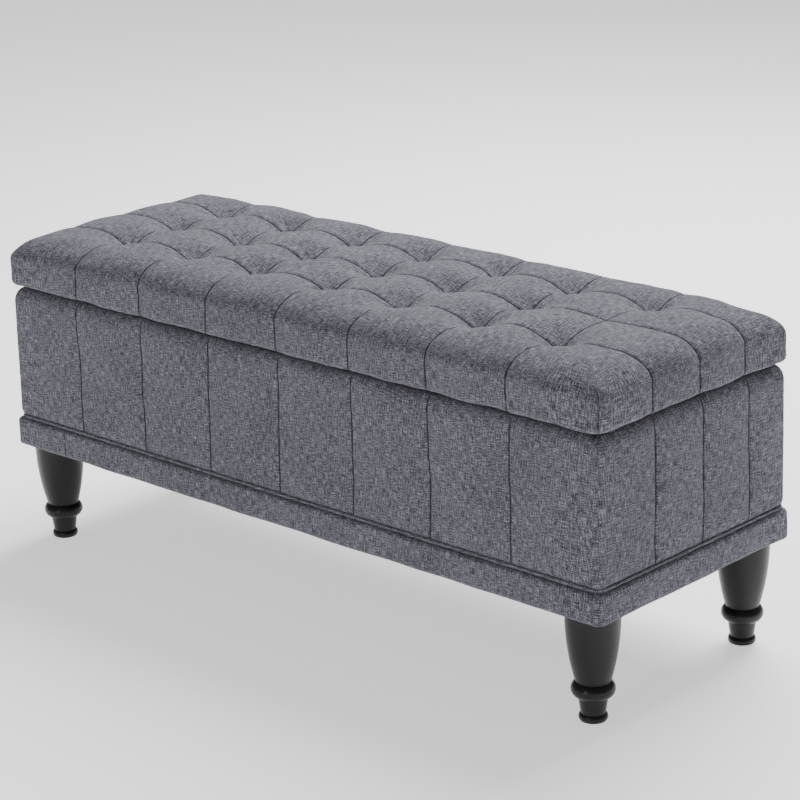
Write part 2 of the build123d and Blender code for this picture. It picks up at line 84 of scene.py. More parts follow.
def makePiece(name, sheets):
    # sheets are grids of points, of cloth coordinates and of thread marks; their shared edges are welded
    points, faces, cloth, marks, start, weld = [], [], [], [], 0, 2e-5
    for grid, uv, mark in sheets:
        rows, cols = grid.shape[:2]
        number = np.arange(rows * cols).reshape(rows, cols) + start
        corners = [number[:-1, :-1], number[1:, :-1], number[1:, 1:], number[:-1, 1:]]
        points.append(grid.reshape(-1, 3))
        cloth.append(uv.reshape(-1, 2))
        marks.append((mark + 0 * grid[..., 0]).ravel())
        faces.append(np.stack(corners, -1).reshape(-1, 4))
        start += rows * cols
    points, faces, cloth, marks = (np.concatenate(c) for c in (points, faces, cloth, marks))
    mesh = bpy.data.meshes.new(name)
    mesh.from_pydata(points.tolist(), [], faces.tolist())
    layer = mesh.uv_layers.new(name="cloth")
    layer.data.foreach_set("uv", cloth[faces.ravel()].astype(np.float32).ravel())
    # the thread marks; the cloth material darkens them, for the thread's colour and as painted shade in the
    # seam groove
    stitch = mesh.attributes.new("stitch", "FLOAT", "POINT")
    stitch.data.foreach_set("value", marks.astype(np.float32))
    work = bmesh.new()
    work.from_mesh(mesh)
    bmesh.ops.remove_doubles(work, verts=work.verts, dist=weld)
    bmesh.ops.dissolve_degenerate(work, edges=work.edges, dist=weld / 4)
    work.to_mesh(mesh)
    work.free()
    mesh.polygons.foreach_set("use_smooth", [True] * len(mesh.polygons))
    mesh.update()
    piece = bpy.data.objects.new(name, mesh)
    bpy.context.scene.collection.objects.link(piece)
    return piece


def turnSide(side, along, out, up):  # local places of side 0 front, 1 right, 2 back or 3 left, in the frame
    x, y = [(along, -out), (out, along), (-along, out), (-out, -along)][side]
    return np.stack([x, y, up], -1)


def ringSide(side, inner, places, profile, hold=0.03, arcSteps=6):
    # One side of a rounded-rectangle ring, from the middle of one corner to the middle of the next.
    # A profile row is the offset outside the inner rectangle, the corner radius, the height, and the normal's
    # outward and upward parts.
    # Across a row the points run straight at the given places, then round a quarter arc cut at 45 degrees.
    alongHalf, outHalf = (inner[0], inner[1]) if side % 2 == 0 else (inner[1], inner[0])
    offset, radius, height, normalOut, normalUp = (np.asarray(c, float)[:, None] for c in zip(*profile))
    angle = np.linspace(0, math.pi / 4, arcSteps + 1)[1:]
    end = alongHalf + offset - radius
    knee = np.minimum(alongHalf - hold, end - hold / 4)
    s = np.asarray(places)[None, :]
    far = np.clip((np.abs(s) - (alongHalf - hold)) / hold, 0, 1)
    near = np.minimum(np.abs(s), alongHalf - hold) * knee / (alongHalf - hold)
    straight = np.sign(s) * (near + far * (end - knee))
    turn = np.concatenate([-angle[::-1], np.zeros(len(places)), angle])[None, :]
    base = np.concatenate([-end + 0 * angle, straight, end + 0 * angle], 1)
    along = base + radius * np.sin(turn)
    out = outHalf + offset - radius + radius * np.cos(turn)
    grid = turnSide(side, along, out, height + 0 * along)
    normal = turnSide(side, normalOut * np.sin(turn), normalOut * np.cos(turn), normalUp + 0 * turn)
    stepped = np.concatenate([places[:1] + 0 * angle, places, places[-1:] + 0 * angle])[None, :] + 0 * along
    return grid, normal, stepped, turn + 0 * along


def roundRipple(side, half, along, height, seed, size):  # ripple that runs on round a ring's corners
    x, y, up = np.moveaxis(turnSide(side, along, half[1 - side % 2] + 0 * along, height), -1, 0)
    return ripple(x + up, y - 0.8 * up, seed, size)


def profileLength(profile):  # distance run along a profile's offsets and heights
    steps = np.hypot(np.diff([r[0] for r in profile]), np.diff([r[2] for r in profile]))
    return np.concatenate([[0], np.cumsum(steps)])[:, None]


# ---------- shader sockets that do arithmetic ----------


class Thread:
    # a shader socket: + - and * on it add Math nodes, and add() makes any other node
    def __init__(self, tree, socket=None):
        self.tree, self.socket = tree, socket

    def add(self, kind, settings=None, links=None, out=0):
        node = self.tree.nodes.new("ShaderNode" + kind)
        for key, value in (settings or {}).items():
            if key == "stops":
                while len(node.color_ramp.elements) < len(value):
                    node.color_ramp.elements.new(0.5)
                for element, (place, colour) in zip(node.color_ramp.elements, value):
                    element.position, element.color = place, colour
            else:
                setattr(node, key, value)
        for key, value in (links or {}).items():
            if isinstance(value, Thread):
                self.tree.links.new(value.socket, node.inputs[key])
            else:
                node.inputs[key].default_value = value
        return Thread(self.tree, node.outputs[out] if len(node.outputs) else None)

    def reckon(self, operation, other):
        return self.add("Math", {"operation": operation}, {0: self, 1: other})

    def __add__(self, other): return self.reckon("ADD", other)
    def __sub__(self, other): return self.reckon("SUBTRACT", other)
    def __mul__(self, other): return self.reckon("MULTIPLY", other)


def startMaterial(name):
    material = bpy.data.materials.new(name)
    material.use_nodes = True
    material.node_tree.nodes.clear()
    return material, Thread(material.node_tree)


def finishMaterial(threads, links):
    shader = threads.add("BsdfPrincipled", None, links)
    threads.add("OutputMaterial", None, {"Surface": shader})


def stretched(threads, place, x, y, z=1.0):  # coordinates scaled along each axis
    return threads.add("VectorMath", {"operation": "MULTIPLY"}, {0: place, 1: (x, y, z)})


def noise(threads, place, detail=2.0, rough=0.5):
    settings = {"Vector": place, "Scale": 1.0, "Detail": detail, "Roughness": rough}
    return threads.add("TexNoise", None, settings)


# ---------- upholstery cloth ----------
linen = dict(
    dark=(0.012, 0.012, 0.020, 1), mid=(0.090, 0.089, 0.112, 1), light=(0.36, 0.355, 0.42, 1),
    threadsPerMetre=1050, slubLength=100, patch=9, roughness=0.92, sheen=0.08, bump=0.6, threadAndPaintedShade=0.6,
)


def linenMaterial():
    material, t = startMaterial("heatheredLinen")
    place = t.add("UVMap", {"uv_map": "cloth"})
    fine, long = linen["threadsPerMetre"], linen["slubLength"]
    # slubs: streaks a thread or two wide and some centimetres long, in the weft and in the warp
    weft = noise(t, stretched(t, place, long, fine))
    warp = noise(t, stretched(t, place, fine, long * 0.8))
    grain = noise(t, stretched(t, place, fine * 0.9, fine * 0.9), 1.0)
    patch = noise(t, stretched(t, place, linen["patch"], linen["patch"]), 3.0, 0.6)
    tone = (weft - 0.5) * 1.25 + (warp - 0.5) * 1.2 + (grain - 0.5) * 1.3 + (patch - 0.5) * 0.2 + 0.5
    stitch = t.add("Attribute", {"attribute_name": "stitch"}, None, 2)
    # darker along the threads: partly the thread's own colour, partly painted shade for the groove the seam
    # pulls in
    tone = tone - stitch * linen["threadAndPaintedShade"]
    colour = t.add("ValToRGB", {"stops": [
        (0.10, linen["dark"]), (0.50, linen["mid"]), (0.92, linen["light"])]}, {"Fac": tone})
    # weave: crossing ribs of warp and weft
    split = t.add("SeparateXYZ", None, {0: stretched(t, place, math.pi * fine, math.pi * fine)})
    along = Thread(t.tree, split.socket.node.outputs[1])
    ribs = t.add("Math", {"operation": "SINE"}, {0: split}) * t.add("Math", {"operation": "SINE"}, {0: along})
    height = ribs * 0.25 + weft * 0.9 + warp * 0.8
    bump = t.add("Bump", None, {"Strength": linen["bump"], "Distance": 0.0006, "Height": height})
    finishMaterial(t, {
        "Base Color": colour, "Roughness": linen["roughness"], "Normal": bump,
        "Sheen Weight": linen["sheen"], "Sheen Roughness": 0.6, "Specular IOR Level": 0.25})
    return material


clothMaterial = linenMaterial()
print("cloth material made")


def dress(piece, material, body):
    piece.data.materials.clear()
    piece.data.materials.append(material)
    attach(piece, body)
    return piece


swell = dict(pressure=2.5, frames=12, tension=25.0, bending=1.5)


def swelled(piece, held, cap):
    # The cover is blown up by the stuffing: cloth with pressure and no gravity, pinned where held is 1.
    # How far a point may move is capped, and the result is applied to the mesh.
    group = piece.vertex_groups.new(name="held")
    for weight in np.unique(np.round(held, 1)):
        group.add(np.flatnonzero(np.round(held, 1) == weight).tolist(), float(weight), "REPLACE")
    cloth = piece.modifiers.new("swell", "CLOTH")
    cloth.settings.vertex_group_mass = "held"
    cloth.settings.use_pressure, cloth.settings.uniform_pressure_force = True, swell["pressure"]
    cloth.settings.tension_stiffness = cloth.settings.compression_stiffness = swell["tension"]
    cloth.settings.bending_stiffness, cloth.settings.mass, cloth.settings.quality = swell["bending"], 0.3, 4
    cloth.settings.effector_weights.gravity = 0
    cloth.collision_settings.use_collision = False
    cloth.point_cache.frame_start, cloth.point_cache.frame_end = 1, swell["frames"]
    for frameNumber in range(1, swell["frames"] + 1):
        bpy.context.scene.frame_set(frameNumber)
    blown = piece.evaluated_get(bpy.context.evaluated_depsgraph_get()).data
    after = np.empty(len(blown.vertices) * 3, np.float32)
    blown.vertices.foreach_get("co", after)
    after = after.reshape(-1, 3).astype(float)

    def capped(co):
        move = after - co
        far = np.linalg.norm(move, axis=1, keepdims=True)
        print("swelled by", round(float(far.mean()) * 1000, 2), "mm on average before the cap")
        return co + move * np.tanh(far / cap) * cap / np.maximum(far, 1e-9)

    piece.modifiers.remove(cloth)
    piece.vertex_groups.remove(group)
    moved(piece, capped)
    bpy.context.scene.frame_set(1)


def moved(piece, change):  # runs all the points of a mesh through a function
    co = np.empty(len(piece.data.vertices) * 3, np.float32)
    piece.data.vertices.foreach_get("co", co)
    co = change(co.reshape(-1, 3).astype(float))
    piece.data.vertices.foreach_set("co", co.astype(np.float32).ravel())
    piece.data.update()


def threads(piece):  # each point's thread mark, and its place
    mark = np.empty(len(piece.data.vertices), np.float32)
    piece.data.attributes["stitch"].data.foreach_get("value", mark)
    co = np.empty(len(mark) * 3, np.float32)
    piece.data.vertices.foreach_get("co", co)
    return mark.astype(float), co.reshape(-1, 3).astype(float)


# ---------- seams shared by all the covers ----------
seam = dict(
    groove=0.0012, grooveWidth=0.0010, ridge=0.0006, ridgePlace=0.0050, ridgeWidth=0.0021, wander=0.0012,
    threadWidth=0.0009,
)


def stitching(distance):  # a narrow V along the thread, and the turned-in edge as a low ridge beside it
    v = -seam["groove"] * np.exp(-np.abs(distance) / seam["grooveWidth"])
    return v + seam["ridge"] * np.exp(-((distance - seam["ridgePlace"]) / seam["ridgeWidth"]) ** 2)


def pillow(distance, pitch, power):  # 0 on a seam, 1 from half a panel away on, steepest beside the seam
    u = np.clip(np.abs(distance) / (pitch / 2), 0, 1)
    return 1 - (1 - u) ** power


def threadMark(distance):  # 1 on a thread, 0 a millimetre or two away; the cloth is drawn darker there, partly for the thread's own colour and partly as painted shade in the seam groove
    return np.exp(-(distance / seam["threadWidth"]) ** 2)


def fromCorner(turn, radius):  # distance round the arc from a corner's middle; a metre on the straight
    return (math.pi / 4 - np.abs(turn)) * radius + 1 * (turn == 0)


# ---------- tufted lid ----------
lid = dict(
    shoulder=0.046, drop=0.030, bottomRoll=0.008, corner=0.013, wrap=0.060, thickness=0.0012,
    crown=0.0016, valley=0.0030, edgeValley=0.0034, dip=0.0215, dipReach=0.064, dipPower=2.0,
    deepest=0.0222, droop=0.0030, droopWidth=0.080, cornerDroop=0.0075, cornerReach=0.065,
    cornerGroove=0.0008, sway=0.0012, untied=(6, 1), untiedPull=0.12, fadeWidth=0.085, seamEnd=0.02,
    folds=(0.0007, 0.0006), foldReach=0.030, uneven=((0.0009, 3, 0.12), (0.0003, 4, 0.035)),
    sideHeld=0.7, threadHeld=0.8, swellCap=0.0035,
)
lidLow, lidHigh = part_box("lid_cover")
tieLow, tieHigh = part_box("tuft_ties")
anchorRadius = 0.006
columnSeams = np.linspace(tieLow.x + anchorRadius, tieHigh.x - anchorRadius, 7)
rowSeams = np.linspace(tieLow.y + anchorRadius, tieHigh.y - anchorRadius, 3)


def lidRelief(x, y, over, side):
    # Height over the smooth lid, along its normal. On top, the cells are domes that fall more and more
    # steeply towards each tie, and the seams between the ties lie a little lower than the cells.
    # over is the distance past the shoulder: down the sides only the seams that cross the edge remain.
    pitchX, pitchY = columnSeams[1] - columnSeams[0], rowSeams[1] - rowSeams[0]
    gapX, gapY = nearSeam(x, columnSeams), nearSeam(y, rowSeams)
    edge = np.minimum(lidHigh.x - np.abs(x), lidHigh.y - np.abs(y))
    ending = 1 - smoothStep(0.0, lid["seamEnd"], over)
    acrossX = 1.0 if side in (None, 0, 2) else ending
    acrossY = 1.0 if side in (None, 1, 3) else ending
    inward = smoothStep(0.0, lid["fadeWidth"], edge)
    depth = lid["edgeValley"] + (lid["valley"] - lid["edgeValley"]) * inward
    cell = (1 - acrossX * (1 - pillow(gapX, pitchX, 2.3))) * (1 - acrossY * (1 - pillow(gapY, pitchY, 2.3)))
    relief = lid["crown"] - depth * (1 - cell)
    clear = 1.0
    for i, seamX in enumerate(columnSeams):
        for j, seamY in enumerate(rowSeams):
            pull = lid["untiedPull"] if (i, j) == lid["untied"] else 1.0
            reach = np.hypot(x - seamX, y - seamY)
            turn = np.arctan2(y - seamY, x - seamX)
            fall = (1 - np.clip(np.sqrt(reach ** 2 + 0.002 ** 2) / lid["dipReach"], 0, 1)) ** lid["dipPower"]
            folds = lid["folds"][0] * np.cos(4 * turn) + lid["folds"][1] * np.cos(7 * turn + 2.1 * i + j)
            folds = folds * np.exp(-(reach / lid["foldReach"]) ** 2) * smoothStep(0.004, 0.016, reach)
            relief = relief - pull * (lid["dip"] * fall - folds)
            clear = clear * (1 - 0.7 * pull * (1 - smoothStep(0.0, 0.008, reach)))
    stitch = (acrossX * stitching(gapX) + acrossY * stitching(gapY)) * clear
    onX = np.clip(x, lid["shoulder"] - lidHigh.x, lidHigh.x - lid["shoulder"]) + over
    onY = np.clip(y, lid["shoulder"] - lidHigh.y, lidHigh.y - lid["shoulder"]) - 0.6 * over
    uneven = sum(height * ripple(onX, onY, seed, size) for height, seed, size in lid["uneven"])
    return np.maximum(relief + stitch + uneven, -lid["deepest"])


def lidStitch(x, y, side):
    marks = 0 * x
    if side in (None, 0, 2):
        marks = np.maximum(marks, threadMark(nearSeam(x, columnSeams)))
    if side in (None, 1, 3):
        marks = np.maximum(marks, threadMark(nearSeam(y, rowSeams)))
    return marks


def lidSheets(under):
    # the lid's skin: a top grid, and four sides that roll over the shoulder and under the edge
    half = np.array([lidHigh.x, lidHigh.y]) - lid["shoulder"]
    top, base = lidHigh.z, lidLow.z
    roll, drop, low = lid["shoulder"], lid["drop"], lid["bottomRoll"]
    corner = lid["corner"]
    bend = np.linspace(0, math.pi / 2, 13)
    profile = [(roll * math.sin(a), corner * math.sin(a), top - drop * (1 - math.cos(a)),
                math.sin(a), math.cos(a)) for a in bend]
    for z in np.linspace(top - drop, base + low, 8)[1:]:
        profile.append((roll, corner, z, 1, 0))
    for a in bend[3::3]:
        profile.append((roll - low * (1 - math.cos(a)), corner, base + low * (1 - math.sin(a)),
                        math.cos(a), -math.sin(a)))
    profile += [(roll - low - inward, corner * 0.7, base, 0, -1) for inward in under]
    run = profileLength(profile)
    alongX = seamSamples(-half[0], half[0], columnSeams, 0.0045)
    alongY = seamSamples(-half[1], half[1], rowSeams, 0.0045)
    gridX, gridY = np.meshgrid(alongX, alongY)
    flat = np.stack([gridX, gridY, top + lidRelief(gridX, gridY, 0 * gridX, None)], -1)
    sheets = [(flat[:, ::-1], np.stack([gridX, gridY], -1)[:, ::-1], lidStitch(gridX, gridY, None)[:, ::-1])]
    for side in range(4):
        places = alongX if side % 2 == 0 else alongY
        places = places if side < 2 else -places[::-1]
        grid, normal, along, turn = ringSide(side, half, places, profile)
        over = run + 0 * along
        lane = turnSide(side, along, 0 * along + (half[1] if side % 2 == 0 else half[0]) + over, 0 * along)
        x = np.clip(lane[..., 0], -lidHigh.x, lidHigh.x)
        y = np.clip(lane[..., 1], -lidHigh.y, lidHigh.y)
        relief = lidRelief(x, y, over, side)
        cornerGap = fromCorner(turn, lid["corner"])
        relief = relief - lid["cornerGroove"] * np.exp(-cornerGap / 0.0015) * smoothStep(0.02, 0.05, over)
        relief = relief * (1 - smoothStep(run[-len(under) - 4], run[-len(under) - 1], run))
        grid = grid + normal * relief[..., None]
        u = along + turn * lid["corner"]
        cloth = [(u, -half[1] - over), (half[0] + over, u), (-u, half[1] + over), (-half[0] - over, -u)][side]
        marks = np.maximum(lidStitch(x, y, side), 0.4 * threadMark(cornerGap) * smoothStep(0.03, 0.05, over))
        sheets.append((grid, np.stack(cloth, -1), marks))
    return sheets


def settled(co):
    # the stuffing is thinner towards the edges, most at the four corners, and the seams wander a little
    x, y, z = co[:, 0], co[:, 1], co[:, 2]
    tall = smoothStep(0.25, 1.0, (z - lidLow.z) / (lidHigh.z - lidLow.z))
    edge = np.minimum(lidHigh.x - np.abs(x), lidHigh.y - np.abs(y))
    corner = np.hypot(lidHigh.x - np.abs(x), lidHigh.y - np.abs(y))
    fall = lid["droop"] * (1 - smoothStep(0.0, lid["droopWidth"], edge))
    fall = fall + lid["cornerDroop"] * np.exp(-(corner / lid["cornerReach"]) ** 1.5)
    inside = smoothStep(0.0, 0.03, edge)
    hem = 0.0007 * ripple(x, y, 25, 0.05) * (1 - smoothStep(0.002, 0.02, z - lidLow.z)) * (edge < 0.006)
    return np.stack([x + lid["sway"] * inside * ripple(x, y, 21, 0.16),
                     y + lid["sway"] * inside * ripple(x, y, 22, 0.16), z - fall * tall + hem], -1)


def lidHeld(piece):  # 1 along the hem and at the ties, less on the threads and the upright sides
    mark, place = threads(piece)
    x, y, z = place[:, 0], place[:, 1], place[:, 2]
    hem = 1 - smoothStep(lidLow.z + 0.002, lidLow.z + 0.012, z)
    upright = np.minimum(lidHigh.x - np.abs(x), lidHigh.y - np.abs(y)) < 0.006
    held = np.maximum(np.maximum(hem, lid["sideHeld"] * upright), lid["threadHeld"] * mark)
    nearestTie = np.min([np.hypot(x - seamX, y - seamY) for seamX in columnSeams for seamY in rowSeams], 0)
    return np.clip(held + 1 - smoothStep(0.003, 0.008, nearestTie), 0, 1)


tuftedCover = makePiece("tuftedLidCover", lidSheets(np.linspace(0.01, lid["wrap"] - lid["bottomRoll"], 4)))
moved(tuftedCover, settled)
swelled(tuftedCover, lidHeld(tuftedCover), lid["swellCap"])
skin = tuftedCover.modifiers.new("cloth", "SOLIDIFY")
skin.thickness, skin.offset = lid["thickness"], -1
dress(tuftedCover, clothMaterial, "lid")
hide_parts("lid_cover", "lid_foam")
print("tufted lid made,", len(tuftedCover.data.polygons), "faces")

# ---------- seamed side cover ----------
wall = dict(
    rim=0.024, innerRound=0.002, rollIn=0.014, rollDown=0.021, tuckIn=0.005, tuckUp=0.005, lower=0.0030,
    corner=0.009, insideDepth=0.025, thickness=0.0010, crown=0.0006, flare=0.0018, valley=0.0026,
    cornerGroove=0.0004, seamPitchX=0.1299, seamPitchY=0.0935, endSeamShift=0.0157,
    uneven=((0.0007, 30, 0.10), (0.00025, 40, 0.03)), calmCorner=0.85, threadHeld=0.9, cornerHeld=0.016,
    swellCap=0.0015,
)
wallLow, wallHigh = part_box("box_cover")
frontSeams = wall["seamPitchX"] * np.arange(-3, 4)
endSeams = wall["seamPitchY"] * np.arange(-1, 2) + wall["endSeamShift"]


def wallProfile():
    # inside the rim, over it, down the face, in under the padding and down to the frame
    top, base, out = wallHigh.z, wallLow.z - wall["lower"], wall["rim"]
    small, rollIn, rollDown = wall["innerRound"], wall["rollIn"], wall["rollDown"]
    quarter = np.linspace(0, math.pi / 2, 9)
    rows = [(0, small, z, -1, 0) for z in np.linspace(top - wall["insideDepth"], top - small, 4)]
    rows += [(small * (1 - math.cos(a)), small, top - small * (1 - math.sin(a)), -math.cos(a), math.sin(a))
             for a in quarter[2::2]]
    rows += [(w, 0.001, top, 0, 1) for w in np.linspace(small, out - rollIn, 4)[1:]]
    corner = wall["corner"]
    rows += [(out - rollIn * (1 - math.sin(a)), 0.001 + (corner - 0.001) * math.sin(a) ** 1.5,
              top - rollDown * (1 - math.cos(a)), math.sin(a), math.cos(a)) for a in quarter[1:]]
    tuckIn, tuckUp = wall["tuckIn"], wall["tuckUp"]
    rows += [(out, corner, z, 1, 0) for z in np.linspace(top - rollDown, base + tuckUp, 30)[1:]]
    rows += [(out - tuckIn * (1 - math.cos(a)), corner - tuckIn * (1 - math.cos(a)),
              base + tuckUp * (1 - math.sin(a)), math.cos(a), -math.sin(a)) for a in quarter[1:]]
    foot = out - tuckIn - 0.0005
    return rows + [(foot, corner - tuckIn, base - fall, 0.9, -0.4) for fall in (0.001, 0.0025, 0.004)]


def wallRelief(side, half, along, turn, height):
    # Height over the smooth side, along its normal: the padding swells between the upright seams, more at mid
    # height, and the side flares a little towards its foot.
    seams, pitch = [(frontSeams, wall["seamPitchX"]), (endSeams, wall["seamPitchY"])][side % 2]
    seams = seams if side < 2 else -seams[::-1]
    gap = nearSeam(along, seams)
    onFace = smoothStep(0.001, 0.016, wallHigh.z - height) * smoothStep(0.0, 0.006, height - wallLow.z)
    level = np.clip((height - wallLow.z) / (wallHigh.z - wallLow.z), 0, 1)
    middle = 0.55 + 0.45 * np.sin(level * math.pi)
    swell = -wall["valley"] * middle * (1 - pillow(gap, pitch, 3.2))
    uneven = sum(tall * roundRipple(side, half, along, height, seed, size)
                 for tall, seed, size in wall["uneven"])
    uneven = uneven * (1 - wall["calmCorner"] * np.exp(-(half[side % 2] - np.abs(along)) / 0.05))
    cornerGap = fromCorner(turn, wall["corner"])
    cornerDip = -wall["cornerGroove"] * np.exp(-cornerGap / 0.0018)
    marks = np.maximum(threadMark(gap), 0.08 * threadMark(cornerGap))
    relief = wall["crown"] + wall["flare"] * (1 - level) + swell + stitching(gap) + uneven + cornerDip
    return onFace * relief, marks * smoothStep(0.0, 0.01, wallHigh.z - height)


def wallSheets():
    half = np.array([wallHigh.x, wallHigh.y]) - wall["rim"]
    profile = wallProfile()
    run = profileLength(profile)
    outside = (np.array([r[3] for r in profile]) >= 0).astype(float)[:, None]
    sheets = []
    for side in range(4):
        seams, reach = [(frontSeams, half[0]), (endSeams, half[1])][side % 2]
        seams = seams if side < 2 else -seams[::-1]
        places = seamSamples(-reach, reach, seams, 0.006)
        grid, normal, along, turn = ringSide(side, half, places, profile)
        relief, marks = wallRelief(side, half, along, turn, grid[..., 2])
        shift = seam["wander"] * np.sin(grid[..., 2] * 24 + 9 * along + side) * outside
        wandering = turnSide(side, shift * (turn == 0), 0 * shift, 0 * shift)
        grid = grid + normal * (relief * outside)[..., None] + wandering
        u = along + turn * wall["corner"]
        sheets.append((grid, np.stack([u + 1.7 * side, -run + 0 * u], -1), marks * outside))
    return sheets


def wallHeld(piece):  # 1 off the pads and at the corners, less on the threads
    mark, place = threads(piece)
    x, y, z = place[:, 0], place[:, 1], place[:, 2]
    face = np.maximum(np.abs(x) - wallHigh.x, np.abs(y) - wallHigh.y) > -0.006
    onPad = smoothStep(0.004, 0.016, wallHigh.z - z) * smoothStep(0.004, 0.014, z - wallLow.z) * face
    corner = np.hypot(wallHigh.x - np.abs(x), wallHigh.y - np.abs(y))
    atCorner = np.exp(-(corner / wall["cornerHeld"]) ** 2)
    return np.maximum(np.maximum(wall["threadHeld"] * mark, 1 - onPad), atCorner)


seamedCover = makePiece("seamedSideCover", wallSheets())
swelled(seamedCover, wallHeld(seamedCover), wall["swellCap"])
skin = seamedCover.modifiers.new("cloth", "SOLIDIFY")
skin.thickness, skin.offset = wall["thickness"], -1
dress(seamedCover, clothMaterial, "box")
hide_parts("box_cover", "front_pad", "back_pad", "left_end_pad", "right_end_pad")
print("side cover made,", len(seamedCover.data.polygons), "faces")

# ---------- base band and its piping ----------
band = dict(
    turnIn=0.030, topIn=0.016, topRound=0.006, bottomRound=0.006, corner=0.009, thickness=0.0009,
    sag=0.0015, swell=0.0012, join=-0.425, loop=2.86,
)
bandLow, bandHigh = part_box("base_band_cover")


def bandSheets():
    half = np.array([bandHigh.x, bandHigh.y]) - band["turnIn"]
    out, top, base, corner = band["turnIn"], bandHigh.z, bandLow.z, band["corner"]
    small, low = band["topRound"], band["bottomRound"]
    quarter = np.linspace(0, math.pi / 2, 7)
    profile = [(w, corner / 2, top, 0, 1) for w in np.linspace(out - band["topIn"], out - small, 3)]
    profile += [(out - small * (1 - math.sin(a)), corner, top - small * (1 - math.cos(a)),
                 math.sin(a), math.cos(a)) for a in quarter[1:]]
    profile += [(out, corner, z, 1, 0) for z in np.linspace(top - small, base + low, 7)[1:]]
    profile += [(out - low * (1 - math.cos(a)), corner, base + low * (1 - math.sin(a)),
                 math.cos(a), -math.sin(a)) for a in quarter[1:]]
    profile += [(w, corner / 2, base, 0, -1) for w in np.linspace(out - low, 0, 4)[1:]]
    run = profileLength(profile)
    sheets = []
    for side in range(4):
        reach = half[side % 2]
        joins = [[band["join"]], [], [], []][side]
        places = seamSamples(-reach, reach, joins or [0.0], 0.008)
        grid, normal, along, turn = ringSide(side, half, places, profile)
        gap = along - band["join"] if side == 0 else 1 + 0 * along
        cornerGap = fromCorner(turn, corner)
        uneven = band["swell"] + 0.0005 * roundRipple(side, half, along, grid[..., 2], 50, 0.09)
        relief = np.maximum(uneven - 0.0005 * np.exp(-cornerGap / 0.002) + 0.5 * stitching(gap), 0.0003)
        relief = relief * smoothStep(0.0, 0.004, bandHigh.z - grid[..., 2])
        grid = grid + normal * relief[..., None]
        hang = np.exp(-(reach - np.abs(along)) / 0.03)
        down = (bandHigh.z - grid[..., 2]) / (bandHigh.z - bandLow.z)
        grid[..., 2] -= band["sag"] * hang * down * (normal[..., 2] > -0.5)
        u = along + turn * corner
        marks = np.maximum(0.5 * threadMark(gap), 0.2 * threadMark(cornerGap))
        sheets.append((grid, np.stack([u + 1.3 * side, -run + 0 * u], -1), marks))
    return sheets


bandCover = makePiece("baseBandCover", bandSheets())
skin = bandCover.modifiers.new("cloth", "SOLIDIFY")
skin.thickness, skin.offset = band["thickness"], -1
dress(bandCover, clothMaterial, "box")
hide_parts("base_band_cover")
print("base band made")

piping = dict(radius=0.0025, corner=0.013, swell=0.00025)
pipeLow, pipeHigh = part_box("base_piping")


def pipingSheet():
    # a round cord carried along a rounded rectangle; its skin swells and thins a little along its length
    halfX, halfY = pipeHigh.x - piping["radius"], pipeHigh.y - piping["radius"]
    level, r = (pipeLow.z + pipeHigh.z) / 2, piping["corner"]
    spots, outs = [], []
    for side in range(4):
        along, out = (halfX, halfY) if side % 2 == 0 else (halfY, halfX)
        straight = np.linspace(-(along - r), along - r, int(2 * along / 0.006))
        turn = np.concatenate([0 * straight, np.linspace(0, math.pi / 2, 9)[1:-1]])
        base = np.concatenate([straight, np.full(7, along - r)])
        spots.append(turnSide(side, base + r * np.sin(turn), out - r + r * np.cos(turn), level + 0 * base))
        outs.append(turnSide(side, np.sin(turn), np.cos(turn), 0 * turn))
    spots, outs = np.concatenate(spots), np.concatenate(outs)
    spots, outs = np.append(spots, spots[:1], 0), np.append(outs, outs[:1], 0)
    run = np.append(0, np.cumsum(np.linalg.norm(np.diff(spots, axis=0), axis=1)))
    around = np.linspace(0, 2 * math.pi, 13)
    thick = piping["radius"] + piping["swell"] * ripple(run, 0 * run, 61, 0.03)
    thick[-1] = thick[0]
    ring = np.cos(around)[:, None, None] * outs[None] + np.sin(around)[:, None, None] * np.array([0, 0, 1.0])
    grid = spots[None] + ring * thick[None, :, None]
    run, around = run[None] + 0 * around[:, None], around[:, None] + 0 * run[None]
    cloth = np.stack([run, around * piping["radius"]], -1)
    return [(grid[::-1], cloth[::-1], 0 * cloth[..., 0])]


bandPiping = makePiece("basePipingCord", pipingSheet())
dress(bandPiping, clothMaterial, "box")
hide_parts("base_piping")
print("piping made")

# ---------- finishes of the carried-over pieces ----------


def lacquerMaterial():
    # black lacquer on turned wood: fine rings of the turning under a smooth coat
    material, t = startMaterial("blackLacquer")
    place = t.add("TexCoord", None, None, 3)
    rings = noise(t, stretched(t, place, 12, 12, 700), 2.0)
    cloud = noise(t, stretched(t, place, 40, 40, 25), 3.0)
    bump = t.add("Bump", None, {"Strength": 0.12, "Distance": 0.0003, "Height": rings * 0.4 + cloud})
    finishMaterial(t, {"Base Color": (0.006, 0.006, 0.0068, 1), "Roughness": cloud * 0.12 + 0.36,
                       "Normal": bump, "Coat Weight": 0.3, "Coat Roughness": 0.2, "Specular IOR Level": 0.16})
    return material


def metalMaterial(name, colour, rough, brushing):
    # zinc plate: soft brushing and a mottled passivation
    material, t = startMaterial(name)
    place = t.add("TexCoord", None, None, 3)
    lines = noise(t, stretched(t, place, 90, 1500, 1500), 2.0)
    cloud = noise(t, stretched(t, place, 160, 160, 160), 3.0)
    tint = t.add("ValToRGB", {"stops": [(0.3, [c * 0.8 for c in colour] + [1]), (0.7, list(colour) + [1])]},
                 {"Fac": cloud})
    bump = t.add("Bump", None, {"Strength": brushing, "Distance": 0.0002, "Height": lines})
    roughness = cloud * 0.15 + rough
    finishMaterial(t, {"Base Color": tint, "Metallic": 1.0, "Roughness": roughness, "Normal": bump})
    return material


